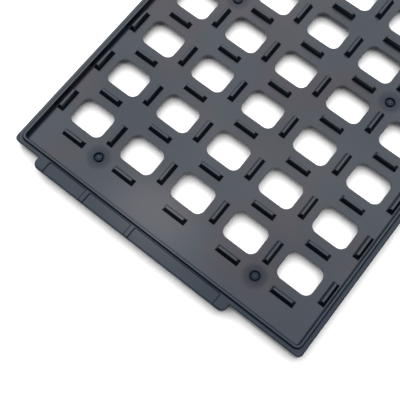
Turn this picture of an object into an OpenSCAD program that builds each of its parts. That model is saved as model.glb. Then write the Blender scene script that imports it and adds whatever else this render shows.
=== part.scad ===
// Matrix tray for integrated circuits: one moulding with a floor of cells inside a stacking frame.
// The long side lies along X and the short side along Y. The tray stands on its skirt at Z = 0, and the
// origin is the middle of that resting plane. The end with the marking fields points to -X.

/* [Body] */
// Length of the body, without the end tabs
body_l = 315; // [300:1:330]
// Width of the body
body_w = 135.9; // [134:0.1:145]
// Radius of the upright corners of the body
body_r = 2; // [1:0.1:4]
// Height of the ledge that carries the next tray, which is also the pitch of a stack
ledge_h = 6.35; // [5.8:0.05:7.5]
// Amount by which the skirt narrows from the ledge down to the table
skirt_draft = 0.3; // [0.1:0.05:0.5]
// Leg of the chamfer that marks the first pin's corner
key_leg = 8; // [6:0.5:9]
// Width of the broken edge round the top of the body and of the end tabs
edge_break = 0.3; // [0.1:0.05:0.4]

/* [Stacking rim] */
// Width of the ledge round the rim
ledge_w = 1.9; // [1.7:0.05:2.1]
// Thickness of the rim along its top
rim_w = 1.05; // [0.8:0.05:1.2]
// Height of the rim above the ledge
rim_rise = 1.27; // [0.9:0.01:1.6]
// Radius of the rim's outer corners
rim_r = 2.5; // [2:0.1:4]
// Amount by which the rim's outer side leans in from the ledge to its top
rim_draft = 0.1; // [0.05:0.01:0.15]
// Amount by which the wall of the well leans out from the floor to the top of the rim
well_draft = 0.2; // [0.1:0.05:0.3]
// Play between this rim and the skirt of the tray that stands on it
stack_play = 0.2; // [0.1:0.05:0.3]
// Width of the broken edges along both sides of the rim's top
rim_break = 0.15; // [0.05:0.05:0.25]

/* [Floor] */
// Height of the floor's top face above the table
floor_z = 5; // [4.4:0.1:5.4]
// Thickness of the floor
floor_t = 1.6; // [1.2:0.1:2.2]

/* [Cells] */
// Number of rows of cells along the tray
rows = 13; // [3:2:13]
// Number of columns of cells across the tray
columns = 5; // [3:2:5]
// Distance from one row to the next
row_pitch = 22; // [20:0.5:23]
// Distance from one column to the next
column_pitch = 25; // [21:0.5:25]
// Size of a cell's opening along the tray
opening_l = 12; // [9:0.5:13]
// Size of a cell's opening across the tray
opening_w = 15.3; // [9:0.1:16]
// Radius of the opening's corners
opening_r = 3.1; // [1.5:0.1:4]

/* [Bars] */
// Length of a locating bar at its foot
bar_l = 10.2; // [8:0.1:11]
// Width of a locating bar at its foot
bar_w = 2.8; // [2.2:0.1:3]
// Amount by which each side of a bar leans in from its foot to its top
bar_draft = 0.9; // [0.3:0.05:1]
// Height of the bars above the floor
bar_h = 2.6; // [2.2:0.1:3]

/* [End tabs] */
// Length by which a tab stands out from the body
tab_out = 3.8; // [3:0.1:5]
// Width of a tab
tab_w = 92.1; // [90:0.1:94]
// Distance from the +Y side of the body to the tab
tab_inset = 12.7; // [10:0.1:16]
// Thickness of a tab
tab_t = 2.5; // [2:0.1:3.5]
// Radius of a tab's free corners
tab_r = 2.5; // [1.5:0.1:2.9]

/* [Marking fields] */
// Depth of the sunk fields on the tab of the -X end
field_depth = 0.4; // [0.2:0.05:0.6]
// Length by which the fields reach from the tab onto the ledge
field_reach = 1.3; // [1:0.1:1.6]
// Radius of the inner corners of the fields
field_r = 1; // [0.5:0.1:1.2]
// Distance from the tab's +Y side to the first field
field_inset = 5; // [4:0.1:6]
// Land between one field and the next
field_land = 2; // [1.5:0.1:2.5]

/* [Gates] */
// Diameter of the shallow dish round a moulding gate
dish_d = 10.4; // [9:0.1:10.8]
// Depth of the dish at its middle
dish_depth = 0.25; // [0.1:0.05:0.35]
// Outer diameter of the ring groove inside the dish
ring_d = 4; // [3.6:0.1:4.6]
// Diameter of the stub that the ring groove leaves standing
stub_d = 2.8; // [2.2:0.1:3]
// Depth of the ring groove below the dish, with sides that meet in a narrow bottom
ring_depth = 0.9; // [0.5:0.05:1]
// Diameter of the gate scar that stands on the stub
scar_d = 1; // [0.6:0.1:1.4]
// Height of the gate scar
scar_h = 0.2; // [0.1:0.05:0.2]

/* [Hidden] */
// Widths of the three marking fields, in order from the tab's +Y side
field_widths = [18, 20, 40];
// Places of the gates, in row pitches along and column pitches across from the middle of the floor
gate_rows = [-(rows / 2), -(rows - 8) / 2, (rows - 8) / 2, rows / 2];
gate_columns = [-(columns - 2) / 2, (columns - 2) / 2];
// Total height, with the rim
tray_h = ledge_h + rim_rise;
// Height of the floor's underside
floor_under = floor_z - floor_t;
// Depth of the well inside the rim
well_depth = tray_h - floor_z;
// Distance from the outside of the body to the well, along the top of the rim
well_inset = ledge_w + rim_draft + rim_w;
// Depth to which a bar is rooted in the floor
bar_root = floor_t / 4;
// Overshoot that carries a cut clear of a face
over = 1;
// Side length of the blocks that trim the keyed corner
trim = 4 * key_leg;
round_fn = 16;
tray_colour = "#55585e";

// A rounded block whose four sides lean out by slope for each unit of height. The size is that of its foot.
module leaning_block(length, width, radius, height, slope) {
    foot_to_top = [0, height];
    lean = slope * height;
    rotate([90, 0, 0])
        linear_extrude(width - 2 * radius, center = true)
            leaning_profile(length, foot_to_top, lean);
    rotate([90, 0, 90])
        linear_extrude(length - 2 * radius, center = true)
            leaning_profile(width, foot_to_top, lean);
    for (side_x = [-1, 1], side_y = [-1, 1])
        translate([side_x * (length / 2 - radius), side_y * (width / 2 - radius), 0])
            cylinder(h = height, r1 = radius, r2 = radius + lean, $fn = 2 * round_fn);
}

// A leaning block whose top edge is broken at 45 degrees, by the given width.
module broken_block(length, width, radius, height, slope, edge) {
    spread = slope * height + height;
    intersection() {
        leaning_block(length, width, radius, height, slope);
        translate([0, 0, -edge])
            leaning_block(
                length + 2 * spread, width + 2 * spread,
                radius + spread, height + 2 * edge, -1
            );
    }
}

// Upright section of a leaning block or bar: size wide at the first height and 2 * lean wider at the second.
module leaning_profile(size, heights, lean) {
    polygon([
        [-size / 2, heights[0]],
        [size / 2, heights[0]],
        [size / 2 + lean, heights[1]],
        [-size / 2 - lean, heights[1]]
    ]);
}

// Everything outside the chamfer of the keyed corner, moved into the tray by inset.
module key_trim(inset) {
    translate([body_l / 2, -body_w / 2, 0])
        rotate([0, 0, -45])
            translate([-key_leg / sqrt(2) - inset, -trim / 2, -over])
                cube([trim, trim, tray_h + 2 * over]);
}

// The body as a solid block, up to the ledge.
module body_block() {
    difference() {
        broken_block(
            body_l - 2 * skirt_draft, body_w - 2 * skirt_draft,
            body_r - skirt_draft, ledge_h, skirt_draft / ledge_h, edge_break
        );
        key_trim(0);
    }
}

// The stacking rim as a solid block, which leans in from a root inside the body.
module rim_block() {
    root = over;
    slope = rim_draft / rim_rise;
    foot_inset = ledge_w - slope * root;
    difference() {
        translate([0, 0, ledge_h - root])
            broken_block(
                body_l - 2 * foot_inset, body_w - 2 * foot_inset,
                rim_r + rim_draft + slope * root, rim_rise + root, -slope, rim_break
            );
        key_trim(ledge_w);
    }
}

// Space of the well over the floor, open at the top, where it flares at 45 degrees to break the rim's edge.
module well() {
    difference() {
        union() {
            translate([0, 0, floor_z])
                leaning_block(
                    body_l - 2 * (well_inset + well_draft), body_w - 2 * (well_inset + well_draft),
                    rim_r - rim_w, well_depth + over, well_draft / well_depth
                );
            translate([0, 0, tray_h - 2 * rim_break])
                leaning_block(
                    body_l - 2 * (well_inset + rim_break), body_w - 2 * (well_inset + rim_break),
                    rim_r - rim_w, 3 * rim_break, 1
                );
        }
        key_trim(well_inset);
    }
}

// Space under the floor, which takes the rim of the tray below.
module underside() {
    hollow_inset = ledge_w - stack_play;
    difference() {
        translate([-body_l / 2 + hollow_inset, -body_w / 2 + hollow_inset, -over])
            cube([body_l - 2 * hollow_inset, body_w - 2 * hollow_inset, floor_under + over]);
        key_trim(hollow_inset);
    }
}

// A square with rounded corners.
module rounded_rectangle(length, width, radius) {
    square([length - 2 * radius, width], center = true);
    square([length, width - 2 * radius], center = true);
    for (side_x = [-1, 1], side_y = [-1, 1])
        translate([side_x * (length / 2 - radius), side_y * (width / 2 - radius)])
            circle(r = radius, $fn = round_fn);
}

// One opening through the floor in the middle of each cell.
module openings() {
    for (row = [0:rows - 1], column = [0:columns - 1])
        translate([row_place(row), column_place(column), floor_under - over])
            linear_extrude(floor_t + 2 * over)
                rounded_rectangle(opening_l, opening_w, opening_r);
}

function row_place(row) = (row - (rows - 1) / 2) * row_pitch;
function column_place(column) = (column - (columns - 1) / 2) * column_pitch;

// Ridges across the tray at the given places along X, drafted as the bars are.
module ridges_across(places, foot) {
    for (place = places)
        translate([place, 0, floor_z])
            rotate([90, 0, 0])
                linear_extrude(body_w, center = true)
                    bar_profile(foot);
}

// Ridges along the tray at the given places along Y, drafted as the bars are.
module ridges_along(places, foot) {
    for (place = places)
        translate([0, place, floor_z])
            rotate([90, 0, 90])
                linear_extrude(body_l, center = true)
                    bar_profile(foot);
}

// Section of a bar, foot wide where it meets the floor, which runs on down to its root in the floor.
module bar_profile(foot) {
    root_lean = bar_draft * bar_root / bar_h;
    leaning_profile(foot + 2 * root_lean, [-bar_root, bar_h], -bar_draft - root_lean);
}

// Locating bars on all four sides of each cell, where ridges along and across the tray meet.
module bars() {
    cell_rows = [for (row = [0:rows - 1]) row_place(row)];
    cell_columns = [for (column = [0:columns - 1]) column_place(column)];
    row_gaps = [for (row = [0:rows]) row_place(row - 0.5)];
    column_gaps = [for (column = [0:columns]) column_place(column - 0.5)];
    intersection() {
        ridges_across(row_gaps, bar_w);
        ridges_along(cell_columns, bar_l);
    }
    intersection() {
        ridges_across(cell_rows, bar_l);
        ridges_along(column_gaps, bar_w);
    }
}

// Both end tabs, rooted in the body, with their tops level with the ledge and clear of the stacking rim.
module tabs() {
    root = tab_r + edge_break;
    for (end = [-1, 1])
        translate([
            end * (body_l / 2 + (tab_out - root) / 2),
            body_w / 2 - tab_inset - tab_w / 2,
            ledge_h - tab_t
        ])
            broken_block(root + tab_out, tab_w, tab_r, tab_t, 0, edge_break);
}

// One sunk field, open towards the end of the tab, with its +Y side at the origin.
module field_outline(width) {
    reach = field_reach + tab_out + over;
    translate([0, field_r - width])
        square([field_r, width - 2 * field_r]);
    translate([field_r, -width])
        square([reach - field_r, width]);
    for (corner_y = [-field_r, field_r - width])
        translate([field_r, corner_y])
            circle(r = field_r, $fn = round_fn);
}

// The three marking fields on the tab of the -X end.
module fields() {
    for (number = [0:len(field_widths) - 1])
        translate([field_reach - body_l / 2, field_place(number), ledge_h - field_depth])
            mirror([1, 0, 0])
                linear_extrude(field_depth + over / 2)
                    field_outline(field_widths[number]);
}

// The +Y side of a field: past the fields before it, each with its land.
function field_place(number) =
    number == 0
        ? body_w / 2 - tab_inset - field_inset
        : field_place(number - 1) - field_widths[number - 1] - field_land;

// Hollow that a moulding gate leaves: a shallow dish, a ring groove and a stub with a scar on top.
module gate_hollow() {
    groove_z = -dish_depth - ring_depth;
    stub_z = -dish_depth;
    wall_lean = (ring_d - stub_d) / 5;
    rotate_extrude($fn = round_fn)
        polygon([
            [0, over],
            [dish_d / 2, over],
            [dish_d / 2, 0],
            [ring_d / 2, -dish_depth],
            [ring_d / 2 - wall_lean, groove_z],
            [stub_d / 2 + wall_lean, groove_z],
            [stub_d / 2, stub_z],
            [scar_d / 2, stub_z],
            [scar_d / 2, stub_z + scar_h],
            [0, stub_z + scar_h]
        ]);
}

// Gates between the cells, in lines at the ends of the tray and at about a third of its length.
module gates() {
    for (row = gate_rows, column = gate_columns)
        translate([row * row_pitch, column * column_pitch, floor_z])
            gate_hollow();
}

module tray() {
    color(tray_colour) {
        difference() {
            union() {
                body_block();
                rim_block();
                tabs();
            }
            well();
            underside();
            openings();
            fields();
            gates();
        }
        bars();
    }
}

tray();
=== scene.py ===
"""A stackable matrix tray in dark moulded plastic, on a pale table under a large soft light.

The tray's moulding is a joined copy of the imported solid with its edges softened, and it stands for that
solid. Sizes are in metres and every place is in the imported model's own frame: the long side along X, the
short side along Y, and the table at Z = 0.
"""

import math

import bmesh
import bpy
import numpy as np
from bpy.props import FloatProperty, FloatVectorProperty, IntProperty, PointerProperty
from mathutils import Euler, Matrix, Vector


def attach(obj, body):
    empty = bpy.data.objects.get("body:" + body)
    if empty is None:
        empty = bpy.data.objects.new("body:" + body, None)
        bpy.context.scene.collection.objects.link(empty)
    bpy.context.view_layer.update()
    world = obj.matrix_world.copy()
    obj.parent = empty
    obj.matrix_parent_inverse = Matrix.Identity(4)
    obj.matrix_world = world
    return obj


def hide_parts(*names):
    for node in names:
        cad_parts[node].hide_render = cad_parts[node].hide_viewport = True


bl_info = {
    "name": "Matrix tray dressing",
    "version": (1, 0, 0),
    "blender": (4, 5, 0),
    "location": "View3D > Sidebar > Matrix tray",
    "description": "Dresses the packed matrix tray and sets it on a plain table",
    "category": "Object",
}

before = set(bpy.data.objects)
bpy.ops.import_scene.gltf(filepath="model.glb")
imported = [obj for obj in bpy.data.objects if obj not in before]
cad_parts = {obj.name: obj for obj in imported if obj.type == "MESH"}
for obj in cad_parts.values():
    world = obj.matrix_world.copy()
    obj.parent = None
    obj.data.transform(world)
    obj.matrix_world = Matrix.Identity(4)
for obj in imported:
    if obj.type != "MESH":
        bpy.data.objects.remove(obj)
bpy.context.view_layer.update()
TRAY_NODE = "tray"
# The grid of cells, from the part's own sizes
CELL_PITCH = np.array([0.022, 0.025])
OPENING_HALF = np.array([0.006, 0.00765])
FLOOR_TOP = 0.005
WELL_HALF = np.array([0.1535, 0.0641])
LEDGE_TOP = 0.00635
TAB_UNDER = 0.00385
RIM_TOP = 0.00762
# Half size and corner radius of the rim's inner lip, and its distance from the middle at the keyed corner
LIP_HALF = (0.15445, 0.06490)
LIP_CORNER = 0.00145
LIP_KEY = 0.15071
# The sides of the marking fields on the tab of the -X end
FIELD_SIDES = (-0.03175, 0.00825, 0.01025, 0.03025, 0.03225, 0.05025)
# On each quarter of the tray the gates stand a step to both sides of a middle in X, all at one Y
GATE_MIDDLE = 0.0990
GATE_STEP = 0.0440
GATE_SIDE = 0.0375
# Digits to which the solid's corners are read, and the gap up to which two places count as one
PLACE_DIGITS = 7
NEAR = 2e-5
# Up to these limits the joined copy drops an edge, takes a corner as on a cut, and makes two faces one
SHORTEST_EDGE = 1e-7
ON_CUT = 1e-6
FLAT_TURN = math.radians(0.4)
# An opening's edge turns more than this, and a bar's upper edges are higher than this
OPENING_TURN = math.radians(55)
BAR_EDGES_ABOVE = FLOOR_TOP + 0.001


# ---------------------------------------------------------------- settings


def rounding(name, description, default):
    """A property for the width of the rounding along one kind of edge."""
    return FloatProperty(
        name=name,
        description=description,
        default=default,
        min=0.00001,
        max=0.0004,
        precision=5,
        unit="LENGTH",
        subtype="DISTANCE",
    )


def share(name, description, default, lowest=0.0):
    """A property for a share or weight of at most 1."""
    return FloatProperty(
        name=name, description=description, default=default, min=lowest, max=1.0, subtype="FACTOR"
    )


def tint(name, description, default):
    """A property for a colour."""
    return FloatVectorProperty(
        name=name, description=description, default=default, min=0.0, max=1.0, size=3, subtype="COLOR"
    )


class MouldingSettings(bpy.types.PropertyGroup):
    """Edges, colour and surface of the tray's plastic."""

    opening_round: rounding("Opening edges", "Width of the rounding on the openings in the floor", 0.00018)
    bar_round: rounding("Bar edges", "Width of the rounding on the upper edges of the bars", 0.00022)
    ledge_round: rounding("Ledge edges", "Width of the rounding on the edges in the ledge's face", 0.00018)
    rim_round: rounding("Rim edges", "Width of the rounding on the edges of the rim's top face", 0.00013)
    plain_round: rounding("Other edges", "Width of the rounding on all other edges", 0.00007)
    edge_steps: IntProperty(
        name="Edge steps",
        description="Number of faces across one rounded edge",
        default=2,
        min=1,
        max=3,
    )
    edge_angle: FloatProperty(
        name="Edge angle",
        description="Smallest turn between two faces that counts as an edge",
        default=math.radians(28),
        min=math.radians(10),
        max=math.radians(80),
        unit="ROTATION",
        subtype="ANGLE",
    )
    colour: tint("Plastic colour", "Colour of the filled plastic", (0.0010, 0.0036, 0.0088))
    clouded_colour: tint(
        "Clouded colour", "Colour of the floor where flow marks cloud it", (0.0092, 0.0030, 0.0060)
    )
    sheen: tint("Sheen", "Tint of the plastic's own sheen, under the skin", (0.59, 0.76, 1.0))
    sheen_level: share("Sheen level", "Specular level of the plastic's own sheen, under the skin", 0.165)
    gloss: share("Skin gloss", "Weight of the glossy skin on the plain floor", 0.50)
    patch_gain: share("Patch gloss", "Weight of gloss that the pale patch of the end land has on top", 0.33)
    # Partly painted: shade on the openings' walls, and the +Y ledge left glossy as painted light
    frame_dulling_and_shade: share("Frame dulling and shade", "Weight of gloss that the ledge and the tabs lack", 0.21)
    # Painted shade: dark lines along the rim, the tabs' free edges and the marking fields
    line_shade: share(
        "Painted line shade", "Weight of gloss lacking along the rim, the tabs' edges and the marking fields", 0.50
    )
    # Painted shade round each gate, darker in its ring
    gate_shade_weight: share("Gate shade", "Weight of gloss that the floor lacks round each gate", 0.21)
    roughness: share("Roughness", "Roughness of the moulded surface", 0.22, lowest=0.05)
    grain_size: FloatProperty(
        name="Grain size",
        description="Size of the fine grain that the mould leaves",
        default=0.0005,
        min=0.0001,
        max=0.003,
        precision=5,
        unit="LENGTH",
        subtype="DISTANCE",
    )
    grain_depth: FloatProperty(
        name="Grain depth",
        description="Depth of the fine grain",
        default=0.000004,
        min=0.0,
        max=0.00005,
        precision=7,
        unit="LENGTH",
        subtype="DISTANCE",
    )


class StageSettings(bpy.types.PropertyGroup):
    """Table, lights and camera."""

    table_colour: tint(
        "Table colour", "Colour of the table as the tray and the lights meet it", (0.80, 0.80, 0.80)
    )
    table_lift: FloatProperty(
        name="Table lift",
        description="How many times lighter the camera and the sheen take the table, its shadows included",
        default=1.3,
        min=0.5,
        max=3.0,
    )
    table_size: FloatProperty(
        name="Table size",
        description="Side length of the table",
        default=6.0,
        min=1.0,
        max=20.0,
        unit="LENGTH",
        subtype="DISTANCE",
    )
    key_power: FloatProperty(
        name="Key light",
        description="Power of the large soft light",
        default=30.0,
        min=0.0,
        max=500.0,
        unit="POWER",
    )
    key_size: FloatProperty(
        name="Key size",
        description="Side length of the large soft light",
        default=1.8,
        min=0.1,
        max=5.0,
        unit="LENGTH",
        subtype="DISTANCE",
    )
    key_place: FloatVectorProperty(
        name="Key place",
        description="Middle of the large soft light",
        default=(0.15, 0.20, 0.95),
        size=3,
        unit="LENGTH",
        subtype="TRANSLATION",
    )
    sky_sheen: share("Room in the sheen", "Level at which the plastic's sheen shows the room", 0.5)
    sky: FloatProperty(
        name="Room light",
        description="Strength of the light that comes evenly from the room",
        default=0.12,
        min=0.0,
        max=2.0,
    )
    camera_place: FloatVectorProperty(
        name="Camera place",
        description="Place of the camera",
        default=(-0.20020, -0.05950, 0.27936),
        size=3,
        unit="LENGTH",
        subtype="TRANSLATION",
    )
    camera_turn: FloatVectorProperty(
        name="Camera turn",
        description="Turn of the camera about X, Y and Z",
        default=(math.radians(17.708), math.radians(0.398), math.radians(-51.756)),
        size=3,
        unit="ROTATION",
        subtype="EULER",
    )
    camera_lens: FloatProperty(
        name="Camera lens",
        description="Focal length of the camera in millimetres, on a 36 mm wide sensor",
        default=68.86,
        min=10.0,
        max=300.0,
    )


# ---------------------------------------------------------------- moulding


def joined_copy(node, name):
    """A mesh with the node's triangles joined at their corners, where faces in one plane become one face.

    The corners are the distinct rows of the node's corner list, and each triangle keeps its own order, so
    it still points outwards. Two cuts through the middle part the faces that would run all the way round.
    """
    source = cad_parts[node].data
    places = np.empty(len(source.vertices) * 3, np.float32)
    source.vertices.foreach_get("co", places)
    order = np.empty(len(source.loops), np.int32)
    source.loops.foreach_get("vertex_index", order)
    places = np.round(places.reshape(-1, 3).astype(float), PLACE_DIGITS)
    distinct, index = np.unique(places, axis=0, return_inverse=True)
    triangles = index.reshape(-1)[order].reshape(-1, 3)
    mesh = bpy.data.meshes.new(name)
    mesh.from_pydata(distinct, [], triangles)
    shell = bmesh.new()
    shell.from_mesh(mesh)
    bmesh.ops.dissolve_degenerate(shell, dist=SHORTEST_EDGE, edges=shell.edges)
    bmesh.ops.dissolve_limit(
        shell,
        angle_limit=FLAT_TURN,
        use_dissolve_boundaries=False,
        verts=shell.verts,
        edges=shell.edges,
        delimit={"NORMAL"},
    )
    for middle in ((1, 0, 0), (0, 1, 0)):
        whole = shell.verts[:] + shell.edges[:] + shell.faces[:]
        bmesh.ops.bisect_plane(shell, geom=whole, plane_co=(0, 0, 0), plane_no=middle, dist=ON_CUT)
    shell.to_mesh(mesh)
    shell.free()
    return mesh


def edge_turns(mesh):
    """The angle between the two faces at each edge of a closed mesh.

    Corners are sorted by their edge, so each edge's two faces lie side by side, and the angle is that
    between the unit normals of the two.
    """
    edge_of = np.empty(len(mesh.loops), np.int32)
    mesh.loops.foreach_get("edge_index", edge_of)
    corners = np.empty(len(mesh.polygons), np.int32)
    mesh.polygons.foreach_get("loop_total", corners)
    normals = np.empty(len(mesh.polygons) * 3, np.float32)
    mesh.polygons.foreach_get("normal", normals)
    face_of = np.repeat(np.arange(len(corners)), corners)
    pairs = face_of[np.argsort(edge_of, kind="stable")].reshape(-1, 2)
    ends = normals.reshape(-1, 3)[pairs]
    return np.arccos(np.clip((ends[:, 0] * ends[:, 1]).sum(axis=1), -1.0, 1.0))


def edge_widths(mesh, settings):
    """The width of each edge's rounding, from where the edge lies.

    Edges that turn less than the set angle have none, nor do those under the tabs. An opening's edge has
    both ends on the floor's top within the opening's outline, as counted from the middle of the nearest
    cell. A bar's upper edge is inside the well and well above the floor. The ledge's edges and the rim's
    are told by their height.
    """
    places = np.empty(len(mesh.vertices) * 3, np.float32)
    mesh.vertices.foreach_get("co", places)
    places = places.reshape(-1, 3)
    ends = np.empty(len(mesh.edges) * 2, np.int32)
    mesh.edges.foreach_get("vertices", ends)
    ends = ends.reshape(-1, 2)
    height = places[:, 2]
    in_cell = np.abs(places[:, :2] - np.round(places[:, :2] / CELL_PITCH) * CELL_PITCH)
    on_opening = (in_cell < OPENING_HALF + NEAR).all(axis=1) & (np.abs(height - FLOOR_TOP) < NEAR)
    in_well = (np.abs(places[:, :2]) < WELL_HALF).all(axis=1)
    on_ledge = ~in_well & (np.abs(height - LEDGE_TOP) < NEAR)
    turns = edge_turns(mesh)
    width = np.full(len(ends), settings.plain_round)
    width[on_opening[ends].all(axis=1) & (turns > OPENING_TURN)] = settings.opening_round
    width[(in_well & (height > BAR_EDGES_ABOVE))[ends].all(axis=1)] = settings.bar_round
    width[on_ledge[ends].all(axis=1)] = settings.ledge_round
    width[(height > RIM_TOP - NEAR)[ends].all(axis=1)] = settings.rim_round
    under_tab = (np.abs(height - TAB_UNDER) < NEAR)[ends].all(axis=1)
    width[(turns < settings.edge_angle) | under_tab] = 0.0
    return width


def soften(piece, settings):
    """Rounds the piece's edges, each by its share of the widest rounding, and keeps flat faces flat."""
    mesh = piece.data
    mesh.polygons.foreach_set("use_smooth", np.ones(len(mesh.polygons), bool))
    mesh.set_sharp_from_angle(angle=settings.edge_angle)
    widths = edge_widths(mesh, settings)
    weights = mesh.attributes.new("bevel_weight_edge", "FLOAT", "EDGE")
    weights.data.foreach_set("value", (widths / widths.max()).astype(np.float32))
    bevel = piece.modifiers.new("edge_rounding", "BEVEL")
    bevel.width = widths.max()
    bevel.segments = settings.edge_steps
    bevel.limit_method = "WEIGHT"
    bevel.use_clamp_overlap = False
    bevel.loop_slide = False
    bevel.harden_normals = True
    bevel.miter_outer = "MITER_SHARP"


def wire(tree, kind, values=(), **properties):
    """Adds a node to a tree.

    Its inputs are set by index or name, from sockets, numbers or colours, and its properties by name.
    """
    node = tree.nodes.new(kind)
    for name, value in properties.items():
        setattr(node, name, value)
    for index, value in values:
        if isinstance(value, bpy.types.NodeSocket):
            tree.links.new(value, node.inputs[index])
        else:
            node.inputs[index].default_value = value
    return node


# ---------------------------------------------------------------- moulding marks, painted shade and light

# Middles of the pale patch in the end land and of the dull corner beside it, and the patch's squeeze in Y
PALE_PATCH = (-0.1480, 0.0070)
PATCH_SQUEEZE = 0.70
DULL_CORNER = (-0.1500, -0.0480)
# Waves a metre of the clouds, of the wide swell of the gloss, and of the polish
CLOUD_WAVES = 34.0
SWELL_WAVES = 22.0
POLISH_WAVES = 60.0
# The next pairs are the marks' borders, from none of a mark to all of it. The clouds go by level of noise
CLOUD_BORDER = (0.42, 0.66)
# Height: the floor's top from below and from above, the whole upper side, and the walls below the floor
FLOOR_FROM_BELOW = (0.0047, 0.0049)
FLOOR_FROM_ABOVE = (0.0056, 0.0052)
UPPER_SIDE = (0.0044, 0.0047)
WALLS_BELOW = (0.0049, 0.0045)
# Distance from the middle of the patch and of the corner
PATCH_BORDER = (0.021, 0.002)
CORNER_BORDER = (0.036, 0.008)
# Distance out from the rim's inner lip for the frame, and Y for the +Y side of the frame, which keeps
# its gloss as painted light
FRAME_BORDER = (-0.0003, 0.0017)
SUNLIT_SIDE = (0.0640, 0.0649)
# Distance from a gate's middle for the painted shade round it, and for its ring from inside and from outside
GATE_SHADE_BORDER = (0.0058, 0.0034)
RING_INSIDE = (0.0006, 0.0010)
RING_OUTSIDE = (0.00235, 0.0020)
# Where the painted shade lines lie out from the rim's inner lip: at its foot, on the lip and along the ledge
RIM_FOOT = (0.00085, 0.00145)
RIM_LIP = (-0.00065, 0.00015)
LEDGE_LINES = ((0.00145, 0.00195), (0.00260, 0.00320))
LINE_BLUR = 0.0001
# Distance from the middle in X for the painted shade lines at the tabs' free edges
TAB_EDGE = (0.16055, 0.16100)
# The marking fields' painted shade: the line along their inner ends, where the lines at their sides start,
# how near to a side these lines are, and the half of the tray that has the fields
FIELD_END = (0.15605, 0.15635)
FIELD_START = (0.15605, 0.15625)
FIELD_LINE = (0.00030, 0.00014)
FIELD_HALF = (0.0, -0.001)
# Strength of the marks' parts against the whole mark
SWELL_SPAN = 0.9
CORNER_STRENGTH = -0.35
WALL_SHADE_STRENGTH = 1.6
SUNLIT_STRENGTH = -1.2
RING_STRENGTH = 2.2
RIM_LINE_STRENGTH = 0.8
FIELD_END_STRENGTH = 0.5


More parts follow.
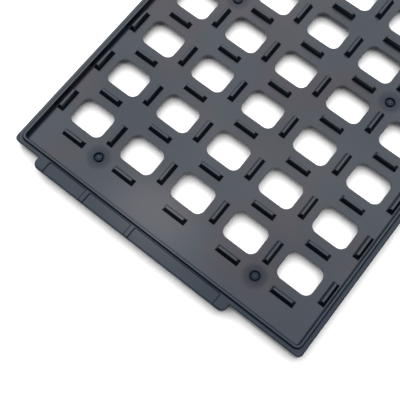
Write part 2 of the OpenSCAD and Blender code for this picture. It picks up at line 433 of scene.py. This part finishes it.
def marks_group():
    """Masks of the moulding's marks and of painted shade and light, from places on the tray.

    Clouded is soft noise on the floor's top. Patch is a paler, glossier patch in the end land, less a
    duller corner, and the wide swell of the gloss. Blush is painted shade: 1 round each gate, and more
    in its ring groove. Frame is 1 on the ledge and the tabs, which are duller, but less on the +Y side,
    whose gloss stays as painted light, and more on the walls of the openings as painted shade. Lines are
    painted shade: dark lines along the rim, the tabs' free edges and the marking fields. All have soft
    borders, and Blush and Lines are kept to the upper side.
    """
    group = bpy.data.node_groups.new("moulding_marks", "ShaderNodeTree")
    for name in ("Clouded", "Patch", "Gate shading", "Frame", "Shade lines"):
        group.interface.new_socket(name, in_out="OUTPUT", socket_type="NodeSocketFloat")
    out = group.nodes.new("NodeGroupOutput")
    place = wire(group, "ShaderNodeTexCoord").outputs["Object"]
    part = wire(group, "ShaderNodeSeparateXYZ", [(0, place)]).outputs

    def maths(operation, *values):
        return wire(group, "ShaderNodeMath", list(enumerate(values)), operation=operation).outputs[0]

    def ramp(value, start, end):
        limits = [(0, value), (1, start), (2, end)]
        return wire(group, "ShaderNodeMapRange", limits, interpolation_type="SMOOTHSTEP").outputs[0]

    def band(value, low, high):
        rise = ramp(value, low - LINE_BLUR, low + LINE_BLUR)
        return maths("MULTIPLY", rise, ramp(value, high + LINE_BLUR, high - LINE_BLUR))

    def distance(x, y):
        return maths("SQRT", maths("ADD", maths("MULTIPLY", x, x), maths("MULTIPLY", y, y)))

    along, across = maths("ABSOLUTE", part["X"]), maths("ABSOLUTE", part["Y"])
    upper = ramp(part["Z"], *UPPER_SIDE)

    noise = wire(group, "ShaderNodeTexNoise", [("Vector", place), ("Scale", CLOUD_WAVES), ("Detail", 3.0)])
    clouds = ramp(noise.outputs["Fac"], *CLOUD_BORDER)
    on_floor = maths("MULTIPLY", ramp(part["Z"], *FLOOR_FROM_BELOW), ramp(part["Z"], *FLOOR_FROM_ABOVE))
    group.links.new(maths("MULTIPLY", clouds, on_floor), out.inputs["Clouded"])

    patch_y = maths("MULTIPLY", maths("SUBTRACT", part["Y"], PALE_PATCH[1]), PATCH_SQUEEZE)
    from_patch = distance(maths("SUBTRACT", part["X"], PALE_PATCH[0]), patch_y)
    from_corner = distance(
        maths("SUBTRACT", part["X"], DULL_CORNER[0]), maths("SUBTRACT", part["Y"], DULL_CORNER[1])
    )
    patches = maths(
        "MULTIPLY_ADD", ramp(from_corner, *CORNER_BORDER), CORNER_STRENGTH, ramp(from_patch, *PATCH_BORDER)
    )
    swell = wire(group, "ShaderNodeTexNoise", [("Vector", place), ("Scale", SWELL_WAVES), ("Detail", 1.0)])
    swelling = maths("MULTIPLY_ADD", swell.outputs["Fac"], SWELL_SPAN, -SWELL_SPAN / 2)
    group.links.new(maths("ADD", patches, swelling), out.inputs["Patch"])

    lip_x = maths("MAXIMUM", maths("SUBTRACT", along, LIP_HALF[0] - LIP_CORNER), 0.0)
    lip_y = maths("MAXIMUM", maths("SUBTRACT", across, LIP_HALF[1] - LIP_CORNER), 0.0)
    beyond_key = maths("MULTIPLY_ADD", maths("SUBTRACT", part["X"], part["Y"]), math.sqrt(0.5), -LIP_KEY)
    from_lip = maths("MAXIMUM", maths("SUBTRACT", distance(lip_x, lip_y), LIP_CORNER), beyond_key)
    # The +Y side keeps its gloss, and a little more, as painted light where the key light falls
    sunlit = ramp(part["Y"], *SUNLIT_SIDE)
    outside = ramp(from_lip, *FRAME_BORDER)
    border = maths("MULTIPLY", outside, maths("MULTIPLY_ADD", sunlit, SUNLIT_STRENGTH, 1.0))
    # Painted shade on the walls of the openings below the floor
    walls = maths("MULTIPLY", ramp(part["Z"], *WALLS_BELOW), maths("SUBTRACT", 1.0, outside))
    group.links.new(maths("MULTIPLY_ADD", walls, WALL_SHADE_STRENGTH, border), out.inputs["Frame"])

    # Painted shade round each gate, darker in its ring groove
    gate_x = maths("SUBTRACT", maths("ABSOLUTE", maths("SUBTRACT", along, GATE_MIDDLE)), GATE_STEP)
    from_gate = distance(gate_x, maths("SUBTRACT", across, GATE_SIDE))
    ring = maths("MULTIPLY", ramp(from_gate, *RING_OUTSIDE), ramp(from_gate, *RING_INSIDE))
    gate_shade = maths("MULTIPLY_ADD", ring, RING_STRENGTH, ramp(from_gate, *GATE_SHADE_BORDER))
    group.links.new(maths("MULTIPLY", gate_shade, upper), out.inputs["Gate shading"])

    # Painted shade: dark lines along the rim's lip and foot, on the +Y ledge, at the tabs' free edges and
    # the fields
    ledge_lines = maths("ADD", *(band(from_lip, low, high) for low, high in LEDGE_LINES))
    rim_lines = maths("MAXIMUM", band(from_lip, *RIM_LIP), maths("MULTIPLY", ledge_lines, sunlit))
    rim_lines = maths("MULTIPLY", rim_lines, RIM_LINE_STRENGTH)
    to_sides = [maths("ABSOLUTE", maths("SUBTRACT", part["Y"], side)) for side in FIELD_SIDES]
    to_side = to_sides[0]
    for other in to_sides[1:]:
        to_side = maths("MINIMUM", to_side, other)
    field_side = maths("MULTIPLY", ramp(to_side, *FIELD_LINE), ramp(along, *FIELD_START))
    field_end = maths("MULTIPLY", band(along, *FIELD_END), band(part["Y"], FIELD_SIDES[0], FIELD_SIDES[-1]))
    field = maths("MAXIMUM", maths("MULTIPLY", field_end, FIELD_END_STRENGTH), field_side)
    field = maths("MULTIPLY", field, ramp(part["X"], *FIELD_HALF))
    rim_and_tabs = maths("MAXIMUM", band(from_lip, *RIM_FOOT), ramp(along, *TAB_EDGE))
    lines = maths("MAXIMUM", rim_and_tabs, maths("MAXIMUM", rim_lines, field))
    group.links.new(maths("MULTIPLY", lines, upper), out.inputs["Shade lines"])
    return group


# ---------------------------------------------------------------- plastic

PLASTIC_IOR = 1.5
ROUGHNESS_SPAN = 0.03


def moulded_plastic(settings):
    """Satin filled plastic, nearly black in itself, with a faint bluish sheen under a glossy skin.

    The marks cloud its colour and make the skin's gloss stronger or weaker. Where they weaken it along the
    rim, the tabs' edges, the marking fields, the gates and the openings' walls, it is painted shade, and on
    the +Y ledge the kept gloss is painted light. A fine grain lies over all.
    """
    material = bpy.data.materials.new("moulded_plastic")
    material.use_nodes = True
    tree = material.node_tree
    shader = tree.nodes["Principled BSDF"]
    shader.inputs["IOR"].default_value = PLASTIC_IOR
    shader.inputs["Specular IOR Level"].default_value = settings.sheen_level
    shader.inputs["Specular Tint"].default_value = (*settings.sheen, 1.0)
    shader.inputs["Coat IOR"].default_value = PLASTIC_IOR
    shader.inputs["Coat Roughness"].default_value = settings.roughness
    marks = tree.nodes.new("ShaderNodeGroup")
    marks.node_tree = marks_group()

    tone = wire(tree, "ShaderNodeMix", [("Factor", marks.outputs["Clouded"])], data_type="RGBA")
    tone.inputs["A"].default_value = (*settings.colour, 1.0)
    tone.inputs["B"].default_value = (*settings.clouded_colour, 1.0)
    tree.links.new(tone.outputs["Result"], shader.inputs["Base Color"])

    # Blush, Lines and the openings' walls in Frame take gloss away as painted shade; the +Y ledge keeps it
    # as painted light
    gloss = settings.gloss
    for mark, gain in (
        ("Patch", settings.patch_gain),
        ("Gate shading", -settings.gate_shade_weight),
        ("Frame", -settings.frame_dulling_and_shade),
        ("Shade lines", -settings.line_shade),
    ):
        terms = [(0, marks.outputs[mark]), (1, gain), (2, gloss)]
        gloss = wire(tree, "ShaderNodeMath", terms, operation="MULTIPLY_ADD").outputs[0]
    weight = wire(tree, "ShaderNodeClamp", [("Value", gloss)])
    tree.links.new(weight.outputs[0], shader.inputs["Coat Weight"])

    place = wire(tree, "ShaderNodeTexCoord").outputs["Object"]
    polish = wire(tree, "ShaderNodeTexNoise", [("Vector", place), ("Scale", POLISH_WAVES), ("Detail", 2.0)])
    smoothest, roughest = settings.roughness - ROUGHNESS_SPAN, settings.roughness + ROUGHNESS_SPAN
    rough = wire(tree, "ShaderNodeMapRange", [(0, polish.outputs["Fac"]), (3, smoothest), (4, roughest)])
    tree.links.new(rough.outputs[0], shader.inputs["Roughness"])

    waves = 1.0 / settings.grain_size
    grain = wire(tree, "ShaderNodeTexNoise", [("Vector", place), ("Scale", waves), ("Detail", 2.0)])
    heights = [("Strength", 1.0), ("Distance", settings.grain_depth), ("Height", grain.outputs["Fac"])]
    relief = wire(tree, "ShaderNodeBump", heights)
    tree.links.new(relief.outputs["Normal"], shader.inputs["Normal"])
    return material


class MATRIX_TRAY_OT_moulding(bpy.types.Operator):
    """Makes the tray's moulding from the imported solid"""

    bl_idname = "matrix_tray.moulding"
    bl_label = "Make the moulding"
    bl_options = {"REGISTER", "UNDO"}

    def execute(self, context):
        settings = context.scene.matrix_tray_moulding
        mesh = joined_copy(TRAY_NODE, "tray_moulding")
        piece = bpy.data.objects.new("tray_moulding", mesh)
        context.scene.collection.objects.link(piece)
        soften(piece, settings)
        mesh.materials.append(moulded_plastic(settings))
        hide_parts(TRAY_NODE)
        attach(piece, "root")
        return {"FINISHED"}


# ---------------------------------------------------------------- stage

# Distance from the middle of the table at which it starts to turn plain white, and at which it is all white
TABLE_FADE = (0.24, 0.60)
KEY_TARGET = (-0.1, 0.0, 0.0)
SENSOR_WIDTH = 36.0
NEAREST_VIEW = 0.01


def table_top(side):
    """A flat square of the given side at Z = 0: the corners are the sign pairs times half the side."""
    signs = np.array([(-1, -1), (1, -1), (1, 1), (-1, 1)], float)
    corners = np.column_stack([signs * side / 2, np.zeros(4)])
    mesh = bpy.data.meshes.new("table_top")
    mesh.from_pydata(corners, [], [(0, 1, 2, 3)])
    return mesh


def table_finish(settings):
    """Matt pale table, which turns plain white away from the tray for the camera and in the sheen.

    The same rays take it a little lighter than its light falls back.
    """
    material = bpy.data.materials.new("pale_table")
    material.use_nodes = True
    tree = material.node_tree
    tree.nodes.remove(tree.nodes["Principled BSDF"])
    ray = wire(tree, "ShaderNodeLightPath").outputs
    kinds = [(0, ray["Is Camera Ray"]), (1, ray["Is Glossy Ray"])]
    seen = wire(tree, "ShaderNodeMath", kinds, operation="MAXIMUM").outputs[0]
    plain = np.array(settings.table_colour)
    tone = wire(tree, "ShaderNodeMix", [("Factor", seen)], data_type="RGBA", clamp_result=False)
    tone.inputs["A"].default_value = (*plain, 1.0)
    tone.inputs["B"].default_value = (*(plain * settings.table_lift), 1.0)
    matt = wire(tree, "ShaderNodeBsdfDiffuse", [("Color", tone.outputs["Result"])])

    place = wire(tree, "ShaderNodeTexCoord").outputs["Object"]
    reach = wire(tree, "ShaderNodeVectorMath", [(0, place)], operation="LENGTH").outputs["Value"]
    limits = [(0, reach), (1, TABLE_FADE[0]), (2, TABLE_FADE[1])]
    far = wire(tree, "ShaderNodeMapRange", limits, interpolation_type="SMOOTHSTEP")
    fade = wire(tree, "ShaderNodeMath", [(0, far.outputs[0]), (1, seen)], operation="MULTIPLY")
    white = wire(tree, "ShaderNodeEmission", [("Strength", 1.0)])
    layers = [(0, fade.outputs[0]), (1, matt.outputs[0]), (2, white.outputs[0])]
    both = wire(tree, "ShaderNodeMixShader", layers)
    tree.links.new(both.outputs[0], tree.nodes["Material Output"].inputs["Surface"])
    return material


def room_light(world, strength, sheen):
    """Even light from the room, which the camera takes as white and the tray's sheen as its own level."""
    world.use_nodes = True
    tree = world.node_tree
    backdrop = tree.nodes["Background"]
    backdrop.inputs["Color"].default_value = (1.0, 1.0, 1.0, 1.0)
    ray = wire(tree, "ShaderNodeLightPath").outputs
    value = strength
    for kind, seen in (("Is Glossy Ray", sheen), ("Is Camera Ray", 1.0)):
        level = wire(tree, "ShaderNodeMix", [("Factor", ray[kind]), ("A", value), ("B", seen)])
        value = level.outputs["Result"]
    tree.links.new(value, backdrop.inputs["Strength"])


def soft_light(name, place, target, size, power):
    """A square soft light at a place, facing a target."""
    lamp = bpy.data.lights.new(name, "AREA")
    lamp.shape = "SQUARE"
    lamp.size = size
    lamp.energy = power
    carrier = bpy.data.objects.new(name, lamp)
    carrier.location = place
    carrier.rotation_euler = (Vector(target) - Vector(place)).to_track_quat("-Z", "Y").to_euler()
    return carrier


class MATRIX_TRAY_OT_stage(bpy.types.Operator):
    """Sets the table, the lights and the camera"""

    bl_idname = "matrix_tray.stage"
    bl_label = "Set the stage"
    bl_options = {"REGISTER", "UNDO"}

    def execute(self, context):
        scene = context.scene
        settings = scene.matrix_tray_stage
        table = bpy.data.objects.new("table", table_top(settings.table_size))
        table.data.materials.append(table_finish(settings))
        scene.collection.objects.link(table)

        key = soft_light("key_light", settings.key_place, KEY_TARGET, settings.key_size, settings.key_power)
        scene.collection.objects.link(key)

        if scene.world is None:
            scene.world = bpy.data.worlds.new("room")
        room_light(scene.world, settings.sky, settings.sky_sheen)

        lens = bpy.data.cameras.new("camera")
        lens.sensor_width = SENSOR_WIDTH
        lens.lens = settings.camera_lens
        lens.clip_start = NEAREST_VIEW
        camera = bpy.data.objects.new("camera", lens)
        camera.location = settings.camera_place
        camera.rotation_euler = Euler(settings.camera_turn, "XYZ")
        scene.collection.objects.link(camera)
        scene.camera = camera
        scene.view_settings.view_transform = "Standard"
        return {"FINISHED"}


# ---------------------------------------------------------------- panel


class MATRIX_TRAY_PT_panel(bpy.types.Panel):
    """Offers the moulding and the stage, each with its settings"""

    bl_idname = "MATRIX_TRAY_PT_panel"
    bl_label = "Matrix tray"
    bl_space_type = "VIEW_3D"
    bl_region_type = "UI"
    bl_category = "Matrix tray"

    def draw(self, context):
        for operator, settings in (
            (MATRIX_TRAY_OT_moulding, context.scene.matrix_tray_moulding),
            (MATRIX_TRAY_OT_stage, context.scene.matrix_tray_stage),
        ):
            box = self.layout.box()
            box.operator(operator.bl_idname)
            for name in type(settings).__annotations__:
                box.prop(settings, name)


CLASSES = (
    MouldingSettings,
    StageSettings,
    MATRIX_TRAY_OT_moulding,
    MATRIX_TRAY_OT_stage,
    MATRIX_TRAY_PT_panel,
)


def register():
    for each in CLASSES:
        bpy.utils.register_class(each)
    bpy.types.Scene.matrix_tray_moulding = PointerProperty(type=MouldingSettings)
    bpy.types.Scene.matrix_tray_stage = PointerProperty(type=StageSettings)


def unregister():
    del bpy.types.Scene.matrix_tray_stage
    del bpy.types.Scene.matrix_tray_moulding
    for each in reversed(CLASSES):
        bpy.utils.unregister_class(each)


def main():
    register()
    bpy.ops.matrix_tray.moulding()
    bpy.ops.matrix_tray.stage()


if __name__ == "__main__":
    main()
